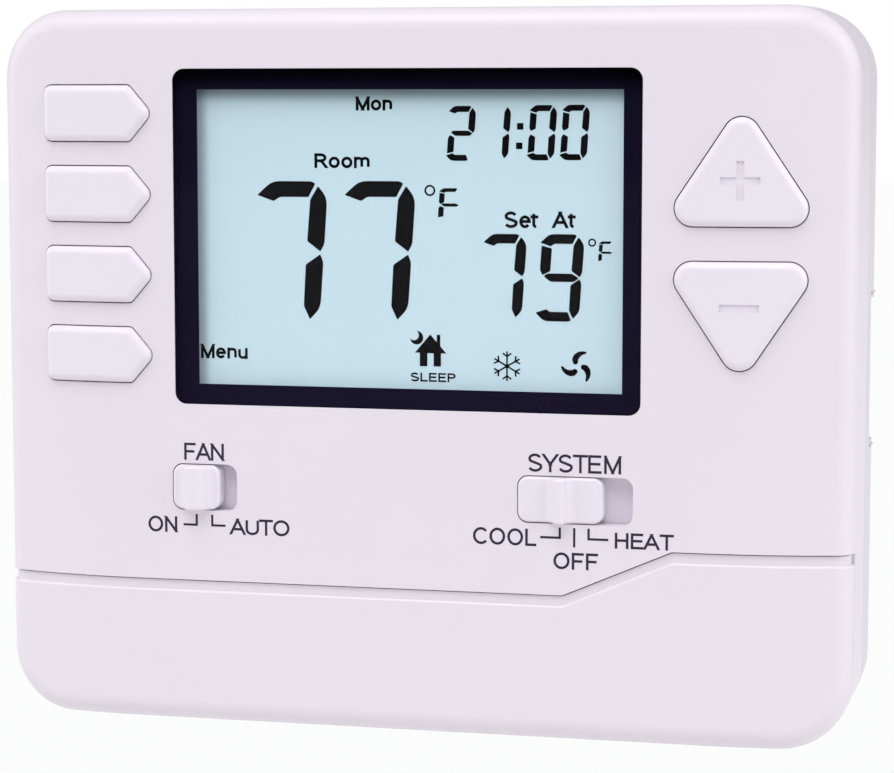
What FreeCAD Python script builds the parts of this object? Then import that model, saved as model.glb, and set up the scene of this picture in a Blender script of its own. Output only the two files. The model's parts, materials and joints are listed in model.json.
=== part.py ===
import FreeCAD, Part
import math
import os

# Wall thermostat. Millimetres, +Z up, the wall is the plane y = 0 and the front faces -Y.
# The origin is the middle of the two wall-screw holes, on the wall.

Vector = FreeCAD.Vector

# outline of the case: it draws in a little from the wall to the front face
front_width = 121.0
front_height = 100.6
back_width = 122.0
back_height = 101.6
front_corner = 9.5
back_corner = 10.0
front_edge_radius = 3.0
crown_start = 40.0
crown_radius = 75.0
wall = 2.2
seam_gap = 0.2

# depths
face_y = -27.0
front_wall_back_y = face_y + wall
door_back_y = -21.5
front_shell_back_y = -9.2
rear_shell_front_y = front_shell_back_y + seam_gap
rear_shell_back_y = -4.6
rear_panel = 1.6
plate_rim_y = rear_shell_back_y + seam_gap
plate_floor = 2.0
pcb_front_y = -14.8
pcb_back_y = -13.2
recess_floor_y = -10.1

# wall plate
wall_screw_spacing = 83.3
wall_screw_radius = 2.2
wire_hole = (-15.0, 15.0, -14.0, 16.0)
post_x = 30.0
post_z = 45.0
post_width = 8.0
post_height = 1.6
thumb_half = 10.0
thumb_depth = 1.5

# terminals, four a side
terminal_pitch = 10.0
terminal_z = [terminal_pitch * (i - 1.5) for i in range(4)]
block_inner_x = 22.0
block_outer_x = 38.0
block_half_height = 20.5
block_front_y = -9.5
screw_x = 27.5
pin_x = 34.4
pin_side = 1.0

# display
window = (-34.2, 32.0, -4.8, 42.1)
window_corner = 1.7
window_fit = 0.05
lens_thickness = 1.6
mask_thickness = 0.2
mask_opening = (-31.1, 29.2, -2.0, 39.2)
glass = (-33.4, 31.4, -4.5, 41.5)
glass_front_y = -23.6
glass_thickness = 2.2
backlight_thickness = 3.4
frame_wall = 1.7

# keys
key_fit = 0.15
key_front_y = -28.0
key_edge = 1.1
key_flange = 0.9
key_flange_front_y = front_wall_back_y + 0.1
key_flange_back_y = -22.2
dome_top_y = -18.5
menu_left = -53.7
menu_shoulder = -40.5
menu_tip = -37.0
menu_height = 8.1
menu_top_z = 35.9
menu_pitch = 11.3
menu_stem_x = -46.4
arrow_x = 45.25
arrow_half_width = 11.25
arrow_base_gap = 4.4
arrow_middle_z = 18.6
arrow_height = 17.0
arrow_corner = 2.6
sign_length = 5.3
sign_width = 1.0
sign_depth = 0.25

# slide switches: slot, knob plate, travel, half width and top radius of the ridge, can width
fan = {"slot": (-34.7, -25.2, -19.8, -13.2), "plate": 6.9, "travel": 2.4,
       "ridge_half": 2.75, "ridge_radius": 1.9, "can": 11.5}
system = {"slot": (15.0, 31.05, -19.9, -13.3), "plate": 11.85, "travel": 4.0,
          "ridge_half": 2.2, "ridge_radius": 0.95, "can": 18.5}
slot_corner = 1.5
slot_fit = 0.1
knob_plate_y = -27.3
ridge_y = -29.0
knob_edge = 0.45
knob_flange_y = front_wall_back_y + 0.1
can_front_y = -19.4
slider_front_y = -22.4

# battery door and its hinge
seam_left_z = -29.8
seam_right_z = -23.2
seam_rise_start_x = 21.3
seam_rise_end_x = 36.4
door_wall = 2.0
door_inset = 2.3
step_width = 1.3
step_depth = 0.4
step_round = 0.35
tab_end_y = -22.7
tab_drop = 2.0
hinge_y = -22.55
hinge_z = -49.35
nose_radius = 1.05
pin_radius = 0.6
pin_clearance = 0.05
lug_x = 34.6
lug_width = 2.6
lug_gap = 0.3
lug_radius = 0.95

# batteries
cell_radius = 5.25
cell_length = 44.5
nub_length = 0.8
nub_radius = 1.9
cell_y = -18.0
cell_z = -39.2
cell_offset = 24.95
tray = (-49.2, 49.2, -44.9, -33.5)
tray_front_y = -22.6
tray_floor_y = -12.6
tray_wall = 1.0
sheet_metal = 0.4

# fasteners
case_screws = [(-53.5, 44.5), (53.5, 44.5), (-54.5, -33.0), (54.5, -33.0)]
pcb_screws = [(-47.0, 44.0), (47.0, 44.0), (-47.0, -26.5), (47.0, -26.5)]
board = (-50.2, 50.2, -29.5, 46.4)

nodes = {}


def box(x0, x1, y0, y1, z0, z1):
    low = Vector(min(x0, x1), min(y0, y1), min(z0, z1))
    return Part.makeBox(abs(x1 - x0), abs(y1 - y0), abs(z1 - z0), low)


def rod_x(y, z, radius, x0, x1):
    return Part.makeCylinder(radius, x1 - x0, Vector(x0, y, z), Vector(1, 0, 0))


def rod_y(x, z, radius, y0, y1):
    return Part.makeCylinder(radius, y1 - y0, Vector(x, y0, z), Vector(0, 1, 0))


def joined(shapes):
    solid = shapes[0].fuse(shapes[1:]) if len(shapes) > 1 else shapes[0]
    return solid.removeSplitter()


def group(shapes):
    return Part.makeCompound(shapes)


def corner_frame(points, i, y):
    here = Vector(points[i][0], y, points[i][1])
    before = Vector(points[i - 1][0], y, points[i - 1][1])
    after_point = points[(i + 1) % len(points)]
    after = Vector(after_point[0], y, after_point[1])
    back = (before - here).normalize()
    ahead = (after - here).normalize()
    return here, back, ahead, back.getAngle(ahead)


def drawn_in(points, distance):
    """The polygon with each side moved inwards by the distance; negative moves it out."""
    result = []
    for i in range(len(points)):
        here, back, ahead, angle = corner_frame(points, i, 0)
        moved = here + (back + ahead) * (distance / math.sin(angle))
        result.append((moved.x, moved.z))
    return result


def outline(points, radii, y):
    """A closed wire through the points in the plane y, with its corners rounded."""
    starts = []
    ends = []
    middles = []
    for i in range(len(points)):
        here, back, ahead, angle = corner_frame(points, i, y)
        radius = max(radii[i], 0.0)
        reach = radius / math.tan(angle / 2)
        starts.append(here + back * reach)
        ends.append(here + ahead * reach)
        bisector = (back + ahead).normalize()
        middles.append(here + bisector * (radius / math.sin(angle / 2) - radius))
    edges = []
    for i in range(len(points)):
        if radii[i] > 0:
            edges.append(Part.Arc(starts[i], middles[i], ends[i]).toShape())
        following = starts[(i + 1) % len(points)]
        if ends[i].distanceToPoint(following) > 0.001:
            edges.append(Part.LineSegment(ends[i], following).toShape())
    return Part.Wire(edges)


def prism(points, radii, y0, y1):
    face = Part.Face(outline(points, radii, y0))
    return face.extrude(Vector(0, y1 - y0, 0))


def corners_of(extent, margin=0.0):
    x0, x1, z0, z1 = extent
    return [(x0 - margin, z0 - margin), (x1 + margin, z0 - margin),
            (x1 + margin, z1 + margin), (x0 - margin, z1 + margin)]


def rounded_box(extent, radius, y0, y1, margin=0.0):
    return prism(corners_of(extent, margin), [radius] * 4, y0, y1)


def rounded_front(solid, y, radius):
    """The solid with the edges that lie in the plane y rounded."""
    edges = [e for e in solid.Edges if all(abs(v.Y - y) < 0.001 for v in e.Vertexes)]
    return solid.makeFillet(radius, edges)


def case_outline(y, inset):
    share = (y - face_y) / -face_y
    half_width = (front_width + share * (back_width - front_width)) / 2 - inset
    half_height = (front_height + share * (back_height - front_height)) / 2 - inset
    corner = front_corner + share * (back_corner - front_corner) - inset
    extent = (-half_width, half_width, -half_height, half_height)
    return outline(corners_of(extent), [corner] * 4, y)


def case_block(y0, y1, inset, edge_radius=0.0):
    block = Part.makeLoft([case_outline(y0, inset), case_outline(y1, inset)], True, True)
    if edge_radius:
        block = rounded_front(block, y0, edge_radius)
    return block


def curved_front(depth):
    """The space behind the front's surface moved back by the depth: flat in the middle,
    bending back towards the left and right edges."""
    front_y = face_y + depth
    middle_y = face_y + crown_radius
    radius = crown_radius - depth
    ends = {}
    for side in (-1, 1):
        for degrees in (10, 24):
            turn = math.radians(degrees)
            ends[side, degrees] = Vector(side * (crown_start + radius * math.sin(turn)),
                                         middle_y - radius * math.cos(turn), -80)
    left = Vector(-crown_start, front_y, -80)
    right = Vector(crown_start, front_y, -80)
    back = [Vector(ends[1, 24].x, 20, -80), Vector(ends[-1, 24].x, 20, -80)]
    edges = [Part.LineSegment(left, right), Part.Arc(right, ends[1, 10], ends[1, 24]),
             Part.LineSegment(ends[1, 24], back[0]), Part.LineSegment(back[0], back[1]),
             Part.LineSegment(back[1], ends[-1, 24]), Part.Arc(ends[-1, 24], ends[-1, 10], left)]
    face = Part.Face(Part.Wire([edge.toShape() for edge in edges]))
    return face.extrude(Vector(0, 0, 160))


def rounded_rim(solid, front_y, radius):
    """The solid with the edges round its curved front rounded."""
    rim = []
    for edge in solid.Edges:
        limits = edge.BoundBox
        across = limits.XLength < 0.01 and abs(abs(limits.XMin) - crown_start) < 0.01
        if limits.YMax < front_y + 4 and not across:
            rim.append(edge)
    return solid.makeFillet(radius, rim)


def front_block(depth, back_y, inset, edge_radius=0.0):
    """The case's shape from the front's surface, moved back by the depth, to back_y."""
    block = case_block(face_y + depth, back_y, inset).common(curved_front(depth))
    if edge_radius:
        block = rounded_rim(block, face_y + depth, edge_radius)
    return block


def below_seam(lift, back_y):
    """The space in front of back_y and below the door's seam, which the lift moves up."""
    points = [(-80, seam_left_z + lift), (-80, -80), (80, -80), (80, seam_right_z + lift),
              (seam_rise_end_x, seam_right_z + lift), (seam_rise_start_x, seam_left_z + lift)]
    return prism(points, [0, 0, 0, 0, 1.5, 1.5], face_y - 10, back_y)


def menu_points(z):
    half = menu_height / 2
    return [(menu_left, z - half), (menu_shoulder, z - half), (menu_tip, z),
            (menu_shoulder, z + half), (menu_left, z + half)]


menu_radii = [1.2, 1.0, 1.5, 1.0, 1.2]


def arrow_points(up):
    base = arrow_middle_z + up * arrow_base_gap / 2
    left = (arrow_x - arrow_half_width, base)
    right = (arrow_x + arrow_half_width, base)
    apex = (arrow_x, base + up * arrow_height)
    return [left, right, apex] if up > 0 else [right, left, apex]


def slot_parts(switch, margin):
    """The slot of a slide switch, widened on every side by the margin."""
    return rounded_box(switch["slot"], slot_corner + margin, face_y - 1, front_wall_back_y + 0.1,
                       margin)


# ---- front shell, door and hinge

def door_recess():
    core = front_block(door_inset, 0, door_inset, 1.2)
    return below_seam(0.0, door_back_y + seam_gap).cut(core)


def case_cavity():
    upper = front_block(wall, front_shell_back_y + 1, wall, 1.2)
    upper = upper.cut(below_seam(wall, door_back_y + seam_gap + wall))
    inset = door_inset + door_wall
    lower = front_block(inset, front_shell_back_y + 1, inset)
    x0, x1, z0, z1 = tray
    tray_room = box(x0 - tray_wall - 0.3, x1 + tray_wall + 0.3, face_y + inset, tray_floor_y,
                    z0 - tray_wall, z1 + tray_wall)
    return upper.fuse([lower, tray_room])


def hinge_lugs():
    lugs = []
    for side in (-1, 1):
        x0 = side * lug_x - lug_width / 2
        x1 = x0 + lug_width
        knuckle = rod_x(hinge_y, hinge_z, lug_radius, x0, x1)
        web = box(x0, x1, hinge_y - 0.85, hinge_y + 0.85, hinge_z, hinge_z + 2.4)
        hole = rod_x(hinge_y, hinge_z, pin_radius + pin_clearance, x0 - 1, x1 + 1)
        lugs.append(knuckle.fuse(web).cut(hole))
    return lugs


def vent_slots():
    """Air slots through the bottom wall, behind the door."""
    return [box(x - 0.6, x + 0.6, -19.0, -11.5, -52, -46) for x in range(-42, 43, 4)]


def door_tab_spots():
    low = seam_left_z - tab_drop
    return [(-40.0, low), (0.0, low), (46.0, seam_right_z - tab_drop)]


def front_shell():
    body = front_block(0, front_shell_back_y, 0, front_edge_radius).cut(door_recess())
    bosses = [rod_y(x, z, 2.8, face_y, front_shell_back_y) for x, z in case_screws]
    bosses += [rod_y(x, z, 2.2, face_y, pcb_front_y) for x, z in pcb_screws]
    bosses = joined(bosses).common(body)
    groove = rod_x(hinge_y, hinge_z, 2.1, -56, 56)
    groove = groove.cut(box(-60, 60, door_back_y + seam_gap, 0, -60, -40))
    shell = body.cut(case_cavity()).fuse(bosses).cut(groove)
    shell = shell.fuse(hinge_lugs())
    ledge_y = face_y + lens_thickness + mask_thickness
    openings = [rounded_box(window, window_corner, face_y - 1, ledge_y),
                rounded_box(mask_opening, 0, face_y - 1, front_wall_back_y + 1, 0.6)]
    openings += [prism(menu_points(menu_top_z - i * menu_pitch), menu_radii, face_y - 1,
                       key_flange_back_y) for i in range(4)]
    openings += [prism(arrow_points(up), [arrow_corner] * 3, face_y - 1, key_flange_back_y)
                 for up in (-1, 1)]
    openings += [slot_parts(fan, 0), slot_parts(system, 0)]
    openings.append(rounded_box(tray, 1.0, face_y, tray_front_y + 0.3))
    openings += [rod_y(x, z, 1.2, -17.5, front_shell_back_y + 1) for x, z in case_screws]
    openings += [rod_y(x, z, 1.0, -20.5, pcb_front_y + 1) for x, z in pcb_screws]
    openings += [box(x - 3.2, x + 3.2, -26, -20, z - 0.9, z + 0.9) for x, z in door_tab_spots()]
    openings += vent_slots()
    return shell.cut(openings)


def seam_z(x):
    share = (x - seam_rise_start_x) / (seam_rise_end_x - seam_rise_start_x)
    return seam_left_z + min(max(share, 0.0), 1.0) * (seam_right_z - seam_left_z)


def with_step(door):
    """The door with its top edge stepped back along the seam, and the step's lip rounded."""
    low = seam_gap + step_width
    band = below_seam(0, door_back_y + 1).cut(below_seam(-low, door_back_y + 2))
    inside = front_block(step_depth, 0, step_depth, front_edge_radius - step_depth)
    door = door.cut(band.cut(inside))
    lip = []
    for edge in door.Edges:
        middle = edge.valueAt((edge.FirstParameter + edge.LastParameter) / 2)
        on_line = abs(seam_z(middle.x) - low - middle.z) < 0.3
        if on_line and middle.y < door_back_y - 0.01 and not inside.isInside(middle, 0.05, True):
            lip.append(edge)
    return door.makeFillet(step_round, lip)


def battery_door():
    door = front_block(0, door_back_y, 0, front_edge_radius)
    door = door.common(below_seam(-seam_gap, door_back_y))
    door = with_step(door.cut(front_block(door_wall, 0, door_wall, 1.0)))
    outside_nose = box(-60, 60, hinge_y, 0, -60, hinge_z)
    outside_nose = outside_nose.cut(rod_x(hinge_y, hinge_z, nose_radius, -60, 60))
    cuts = [outside_nose]
    half = lug_width / 2 + lug_gap
    for side in (-1, 1):
        x = side * lug_x
        cuts.append(box(x - half, x + half, hinge_y - 1.9, 0, -60, hinge_z + 2.9))
        cuts.append(hinge_pin(side))
    tabs = [box(x - 2.6, x + 2.6, face_y + door_wall - 0.2, tab_end_y, z - 0.5, z + 0.5)
            for x, z in door_tab_spots()]
    return joined([door.cut(cuts)] + tabs)


def hinge_pin(side):
    return rod_x(hinge_y, hinge_z, pin_radius, side * lug_x - 4.0, side * lug_x + 4.0)


# ---- rear shell and wall plate

def pin_spots():
    return [(side * pin_x, z) for side in (-1, 1) for z in terminal_z]


def rear_shell():
    body = case_block(rear_shell_front_y, rear_shell_back_y, 0)
    inner = case_block(rear_shell_front_y - 1, rear_shell_back_y - rear_panel, wall)
    shell = body.cut(inner)
    pan = box(-43, 43, rear_shell_back_y, recess_floor_y - rear_panel, -28, 32)
    bosses = [rod_y(x, z, 2.8, rear_shell_front_y, rear_shell_back_y) for x, z in case_screws]
    shell = shell.fuse([pan] + bosses)
    cuts = [box(-41.5, 41.5, 0, recess_floor_y, -26.5, 30.5)]
    for x, z in case_screws:
        cuts.append(rod_y(x, z, 1.4, rear_shell_front_y - 1, 0))
        cuts.append(rod_y(x, z, 2.5, -6.4, 0))
    for x in (-post_x, post_x):
        for z in (-post_z, post_z):
            cuts.append(box(x - post_width / 2 - 0.2, x + post_width / 2 + 0.2, -8, 0,
                            z - post_height / 2 - 0.2, z + post_height / 2 + 0.2))
    cuts += [box(x - 1.1, x + 1.1, -12, -9, z - 1.1, z + 1.1) for x, z in pin_spots()]
    cuts += [box(x - 0.7, x + 0.7, -12, -9, 22.5, 28.5) for x in range(-34, 35, 4)]
    return shell.cut(cuts)


def wall_plate():
    body = case_block(plate_rim_y, 0, 0.1)
    body = body.cut(case_block(plate_rim_y - 1, -plate_floor, wall))
    posts = [box(x - post_width / 2, x + post_width / 2, -7.8, -1, z - post_height / 2,
                 z + post_height / 2) for x in (-post_x, post_x) for z in (-post_z, post_z)]
    pads = [rod_y(0, side * wall_screw_spacing / 2, 5.0, -2.8, -1) for side in (-1, 1)]
    level_rest = box(-12, 12, -3.4, -1, 32.4, 33.6)
    teeth = []
    for side in (-1, 1):
        for end in (-1, 1):
            x = side * (back_width / 2 - 0.5)
            tip = side * (back_width / 2 + 0.2)
            z = end * (thumb_half + 0.8)
            triangle = Part.makePolygon([Vector(x, -0.4, z - 0.7), Vector(tip, -0.4, z),
                                         Vector(x, -0.4, z + 0.7), Vector(x, -0.4, z - 0.7)])
            teeth.append(Part.Face(triangle).extrude(Vector(0, plate_rim_y + 0.4, 0)))
    plate = body.fuse(posts + pads + teeth + [level_rest])
    cuts = [rounded_box(wire_hole, 3.0, -5, 1)]
    cuts += [rod_y(0, side * wall_screw_spacing / 2, wall_screw_radius, -5, 1) for side in (-1, 1)]
    for side in (-1, 1):
        low = side * (back_width / 2 - thumb_depth)
        cuts.append(box(low, side * 70, -5, 1, -thumb_half, thumb_half))
    return plate.cut(cuts)


# ---- terminals on the wall plate

def terminal_block(side):
    """A row of screw pockets, open to the middle for the wires, with a shaft for each pin."""
    body = box(side * block_inner_x, side * block_outer_x, -plate_floor, block_front_y,
               -block_half_height, block_half_height)
    open_x = side * (block_inner_x - 1)
    cuts = []
    for z in terminal_z:
        cuts.append(box(open_x, side * (screw_x + 3.6), -6.4, -12, z - 3.6, z + 3.6))
        cuts.append(box(open_x, side * (pin_x + 1.4), -4.2, -6.41, z - 2.6, z + 2.6))
        cuts.append(box(side * (pin_x - 1.4), side * (pin_x + 1.4), -4.2, -12, z - 1.4, z + 1.4))
        cuts.append(rod_y(side * screw_x, z, 1.5, -5, -2.5))
    return body.cut(cuts)


def terminal_screw(x, z):
    head = rod_y(x, z, 2.7, -9.1, -7.5)
    shank = rod_y(x, z, 1.5, -7.6, -3.0)
    slot = box(x - 3, x + 3, -9.2, -8.4, z - 0.4, z + 0.4)
    return head.fuse(shank).cut(slot).removeSplitter()


def terminal_clamp(x, z):
    return box(x - 3.2, x + 3.2, -7.5, -6.6, z - 3.2, z + 3.2).cut(rod_y(x, z, 1.5, -9, -5))


def terminal_contact(side, z):
    """A plate under the clamp, bent up into a spring leaf beside the pin."""
    plate = box(side * (screw_x - 3.2), side * (pin_x + 1.2), -4.3, -5.1, z - 2.4, z + 2.4)
    leaf = box(side * (pin_x + 0.7), side * (pin_x + 1.2), -4.3, -8.9, z - 1.2, z + 1.2)
    return plate.fuse(leaf).cut(rod_y(side * screw_x, z, 1.5, -9, 0)).removeSplitter()


def jumper_link():
    """The bare bridge that ties the two supply terminals of the left block together."""
    low = terminal_z[2]
    high = terminal_z[3]
    x = -block_inner_x + 0.5
    bridge = box(x, x + 0.8, -5.9, -5.1, low - 0.4, high + 0.4)
    legs = [box(-screw_x + 1.7, x, -5.9, -5.1, z - 0.4, z + 0.4) for z in (low, high)]
    return joined([bridge] + legs)


# ---- display

def display_window():
    return rounded_box(window, window_corner - window_fit, face_y, face_y + lens_thickness,
                       -window_fit)


def window_mask():
    y0 = face_y + lens_thickness
    y1 = y0 + mask_thickness
    sheet = rounded_box(window, window_corner - window_fit, y0, y1, -window_fit)
    return sheet.cut(rounded_box(mask_opening, 0, y0 - 1, y1 + 1))


def lcd_glass():
    """Two glass sheets; the rear one is longer at the bottom, where its contacts are."""
    x0, x1, z0, z1 = glass
    middle_y = glass_front_y + glass_thickness / 2
    front = box(x0, x1, glass_front_y, middle_y, z0 + 2.2, z1)
    rear = box(x0, x1, middle_y, glass_front_y + glass_thickness, z0, z1)
    return front.fuse(rear)


def backlight():
    x0, x1, z0, z1 = glass
    y0 = glass_front_y + glass_thickness
    return box(x0 + 1.5, x1, y0, y0 + backlight_thickness, z0 + 2.4, z1)


def lcd_frame():
    y0 = front_wall_back_y + 0.2
    outer = rounded_box(glass, 1.0, y0, pcb_front_y, frame_wall + 0.1)
    ring = outer.cut(rounded_box(glass, 0.2, y0 - 1, pcb_front_y + 1, 0.1))
    ledge_y = glass_front_y + glass_thickness + backlight_thickness
    x0, x1, z0, z1 = glass
    ledges = [box(x0 - 0.5, x0 + 3, ledge_y, ledge_y + 1.0, z0 + 6, z1 + 0.5),
              box(x1 - 3, x1 + 0.5, ledge_y, ledge_y + 1.0, z0 + 6, z1 + 0.5)]
    return joined([ring] + ledges)


def backlight_leds():
    x0 = glass[0]
    y0 = glass_front_y + glass_thickness + 0.6
    return group([box(x0 + 0.2, x0 + 1.5, y0, y0 + 2.2, z - 1.8, z + 1.8) for z in (8.0, 28.0)])


def zebra_strip():
    x0, x1, z0, _ = glass
    return box(x0 + 2, x1 - 2, glass_front_y + glass_thickness, pcb_front_y, z0 + 0.2, z0 + 2.2)


# ---- keys and their pads

def key(points, radii, stem):
    """A cap through the front wall, a flange behind it and a stem that reaches a dome."""
    cap_radii = [r - key_fit for r in radii]
    proud = face_y - key_front_y
    cap = prism(drawn_in(points, key_fit), cap_radii, key_front_y - 1, key_flange_back_y - 0.3)
    cap = rounded_rim(cap.common(curved_front(-proud)), key_front_y, key_edge)
    flange_radii = [r + key_flange for r in radii]
    flange = prism(drawn_in(points, -key_flange), flange_radii, key_flange_front_y - 1,
                   key_flange_back_y)
    flange = flange.common(curved_front(wall + 0.1))
    x, z, half_x, half_z = stem
    post = box(x - half_x, x + half_x, key_flange_back_y - 0.2, dome_top_y - 0.1, z - half_z,
               z + half_z)
    return joined([cap, flange, post])


def menu_key(i):
    z = menu_top_z - i * menu_pitch
    return key(menu_points(z), menu_radii, (menu_stem_x, z, 2.6, 1.8))


def sign_z(up):
    return arrow_middle_z + up * (arrow_base_gap / 2 + arrow_height * 0.37)


def sign_bar(z, across, upright):
    bar = box(arrow_x - across / 2, arrow_x + across / 2, key_front_y - 1, face_y,
              z - upright / 2, z + upright / 2)
    return bar.cut(curved_front(key_front_y - face_y + sign_depth))


def arrow_key(up):
    z = sign_z(up)
    solid = key(arrow_points(up), [arrow_corner] * 3, (arrow_x, z, 2.6, 1.8))
    solid = solid.cut(sign_bar(z, sign_length, sign_width))
    if up > 0:
        solid = solid.cut(sign_bar(z, sign_width, sign_length))
    return solid


def key_pad(extent, domes):
    sheet_y = pcb_front_y - 0.9
    parts = [rounded_box(extent, 2.0, sheet_y, pcb_front_y)]
    for x, z in domes:
        parts.append(Part.makeCone(2.4, 3.6, sheet_y - dome_top_y, Vector(x, dome_top_y, z),
                                   Vector(0, 1, 0)))
    return joined(parts)


# ---- slide switches

def knob_centre(switch):
    x0, _, z0, z1 = switch["slot"]
    return x0 + slot_fit + switch["plate"] / 2, (z0 + z1) / 2


def grip_profile(switch):
    """The knob's section across the ridge: a round top that runs into the plate by hollow arcs."""
    x, z = knob_centre(switch)
    half = switch["plate"] / 2
    height = knob_plate_y - ridge_y
    reach = switch["ridge_half"]
    both_radii = (reach * reach / height + height) / 2
    top_radius = switch["ridge_radius"]
    hollow_radius = both_radii - top_radius
    slope = math.asin(reach / both_radii)
    bend = (top_radius * math.sin(slope), ridge_y + top_radius * (1 - math.cos(slope)))
    middle = (reach - hollow_radius * math.sin(slope / 2),
              knob_plate_y - hollow_radius * (1 - math.cos(slope / 2)))
    section = [bend, middle, (reach, knob_plate_y), (half, knob_plate_y)]
    right = [Vector(x + across, y, z) for across, y in section]
    left = [Vector(2 * x - p.x, p.y, z) for p in right]
    under = knob_flange_y + 0.2
    low_right = Vector(x + half, under, z)
    low_left = Vector(x - half, under, z)
    edges = [Part.LineSegment(low_left, left[3]), Part.LineSegment(left[3], left[2]),
             Part.Arc(left[2], left[1], left[0]),
             Part.Arc(left[0], Vector(x, ridge_y, z), right[0]),
             Part.Arc(right[0], right[1], right[2]),
             Part.LineSegment(right[2], right[3]), Part.LineSegment(right[3], low_right),
             Part.LineSegment(low_right, low_left)]
    return Part.Wire([edge.toShape() for edge in edges])


def rim_edges(cap, x, half):
    """The edges round the front of the cap, without the lines across it where its arcs meet."""
    rim = []
    for edge in cap.Edges:
        limits = edge.BoundBox
        across = limits.XLength < 0.01 and abs(limits.XMin - x) < half - 0.1
        if max(v.Y for v in edge.Vertexes) < knob_plate_y + 0.01 and not across:
            rim.append(edge)
    return rim


def knob(switch):
    x, z = knob_centre(switch)
    x0, x1, z0, z1 = switch["slot"]
    half = switch["plate"] / 2
    plate_extent = (x - half, x + half, z0 + 0.15, z1 - 0.15)
    bar = Part.Face(grip_profile(switch)).extrude(Vector(0, 0, z1 - z0))
    bar.translate(Vector(0, 0, z0 - z))
    cap = bar.common(rounded_box(plate_extent, slot_corner - 0.1, ridge_y - 1, 0))
    cap = cap.makeFillet(knob_edge, rim_edges(cap, x, half))
    flange_extent = (x0 - 0.6 - switch["travel"], x1 + 0.6, z0 - 1.7, z1 + 1.7)
    flange = rounded_box(flange_extent, 1.5, knob_flange_y, knob_flange_y + 0.8)
    fork = [box(x + side * 1.3, x + side * 2.5, knob_flange_y + 0.6, slider_front_y + 1.6,
                z - 1.6, z + 1.6) for side in (-1, 1)]
    return joined([cap, flange] + fork)


def can_middle(switch):
    x, z = knob_centre(switch)
    return x + switch["travel"] / 2, z


def switch_body(switch):
    x, z = can_middle(switch)
    half = switch["can"] / 2
    can = box(x - half, x + half, can_front_y, pcb_front_y, z - 3.1, z + 3.1)
    hollow = box(x - half + 0.6, x + half - 0.6, can_front_y + 0.5, pcb_front_y - 0.8, z - 2.6,
                 z + 2.6)
    reach = 1.2 + switch["travel"] / 2 + 0.15
    return can.cut([hollow, box(x - reach, x + reach, -30, -18, z - 1.35, z + 1.35)])


def switch_slider(switch):
    x, z = knob_centre(switch)
    stem = box(x - 1.2, x + 1.2, slider_front_y, -18.0, z - 1.2, z + 1.2)
    carriage = box(x - 3.0, x + 3.0, can_front_y + 0.7, pcb_front_y - 1.1, z - 2.4, z + 2.4)
    return joined([stem, carriage])


# ---- circuit board and what it carries

def main_pcb():
    x0, x1, z0, z1 = board
    sheet = box(x0, x1, pcb_front_y, pcb_back_y, z0, z1)
    return sheet.cut([rod_y(x, z, 1.3, -20, 0) for x, z in pcb_screws])


def screw_from_back(x, z, seat_y, head_radius, radius, length):
    head = rod_y(x, z, head_radius, seat_y, seat_y + 1.4)
    shank = rod_y(x, z, radius, seat_y - length, seat_y + 0.1)
    cross = [box(x - 1.4, x + 1.4, seat_y + 0.7, seat_y + 2, z - 0.3, z + 0.3),
             box(x - 0.3, x + 0.3, seat_y + 0.7, seat_y + 2, z - 1.4, z + 1.4)]
    return head.fuse(shank).cut(cross).removeSplitter()


def relays():
    return group([box(x - 5.6, x + 5.6, pcb_back_y, -6.9, 33.0, 42.4) for x in (-20.0, -7.0, 6.0)])


def microcontroller():
    body = box(-14, 0, pcb_front_y - 0.1, pcb_front_y - 1.6, 12, 26)
    legs = []
    for i in range(9):
        z = 13.4 + i * 1.4
        x = -12.6 + i * 1.4
        legs += [box(-15.2, -14, pcb_front_y, pcb_front_y - 0.4, z - 0.3, z + 0.3),
                 box(0, 1.2, pcb_front_y, pcb_front_y - 0.4, z - 0.3, z + 0.3),
                 box(x - 0.3, x + 0.3, pcb_front_y, pcb_front_y - 0.4, 10.8, 12),
                 box(x - 0.3, x + 0.3, pcb_front_y, pcb_front_y - 0.4, 26, 27.2)]
    return joined([body] + legs)


def capacitors():
    cans = []
    for x in (-12.0, 0.0):
        can = rod_y(x, -19.0, 3.15, pcb_front_y - 7.6, pcb_front_y)
        cans.append(rounded_front(can, pcb_front_y - 7.6, 0.5))
    return group(cans)


def crystal():
    return rounded_box((10.0, 20.5, 5.8, 10.2), 2.1, pcb_front_y - 2.4, pcb_front_y)


def temperature_sensor():
    x = -43.0
    z = -14.5
    bead = Part.makeSphere(1.5, Vector(x, -21.5, z))
    leads = [rod_y(x + side * 0.7, z, 0.25, -21.5, pcb_front_y) for side in (-1, 1)]
    return joined([bead] + leads)


def header_pins():
    pieces = []
    for x, z in pin_spots():
        base = box(x - 1.6, x + 1.6, pcb_back_y, pcb_back_y + 1.2, z - 1.6, z + 1.6)
        pin = box(x - pin_side / 2, x + pin_side / 2, pcb_back_y, -5.6, z - pin_side / 2,
                  z + pin_side / 2)
        pieces.append(joined([base, pin]))
    return group(pieces)


# ---- batteries and their tray

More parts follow.
